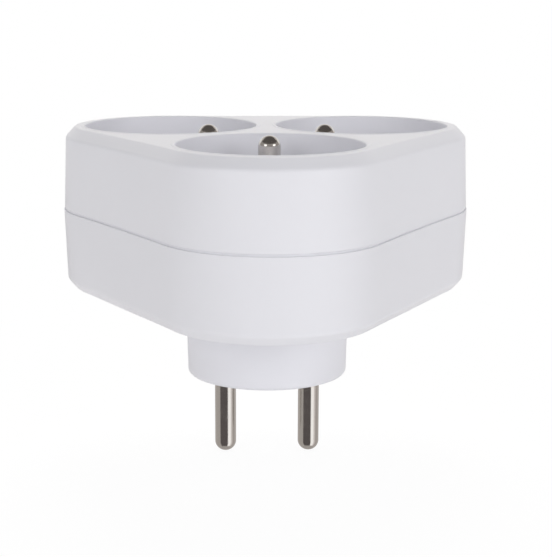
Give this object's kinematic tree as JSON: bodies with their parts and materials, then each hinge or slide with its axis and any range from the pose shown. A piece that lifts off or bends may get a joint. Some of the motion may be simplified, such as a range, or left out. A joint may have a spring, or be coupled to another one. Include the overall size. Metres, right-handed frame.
{
  "type": "plug adapter",
  "caption": "White triangular mains adapter with round socket wells and earth pins on top, and a round boss with plug pins below.",
  "frame": {"origin": "centre of the plug's flat face", "axes": "+Z out of the socket wells and away from the plug pins, +X along the line of the plug pins towards the live pin, -Y towards the front well"},
  "size_m": [0.0924, 0.0866, 0.0743],
  "materials": {
    "case_plastic": "fine satin moulded white",
    "inner_plastic": "moulded off-white",
    "nickel_plate": "nickel plated, slightly worn",
    "brass": "stamped and turned, plain",
    "spring_brass": "rolled spring strip",
    "zinc_steel": "zinc plated"
  },
  "bodies": {
    "root": {"top_shell": "case_plastic", "socket_plate": "case_plastic", "bottom_shell": "case_plastic", "plug_boss": "case_plastic", "contact_carrier": "inner_plastic", "plug_pin_live": "nickel_plate", "plug_pin_neutral": "nickel_plate", "plug_earth_socket": "brass", "live_bar": "brass", "neutral_bar": "brass", "earth_bar": "brass", "live_rivets": "brass", "neutral_rivets": "brass", "case_screws": "zinc_steel", "carrier_screws": "zinc_steel", "live_contact_1": "spring_brass", "neutral_contact_1": "spring_brass", "earth_pin_1": "nickel_plate", "live_contact_2": "spring_brass", "neutral_contact_2": "spring_brass", "earth_pin_2": "nickel_plate", "live_contact_3": "spring_brass", "neutral_contact_3": "spring_brass", "earth_pin_3": "nickel_plate"}
  },
  "joints": []
}
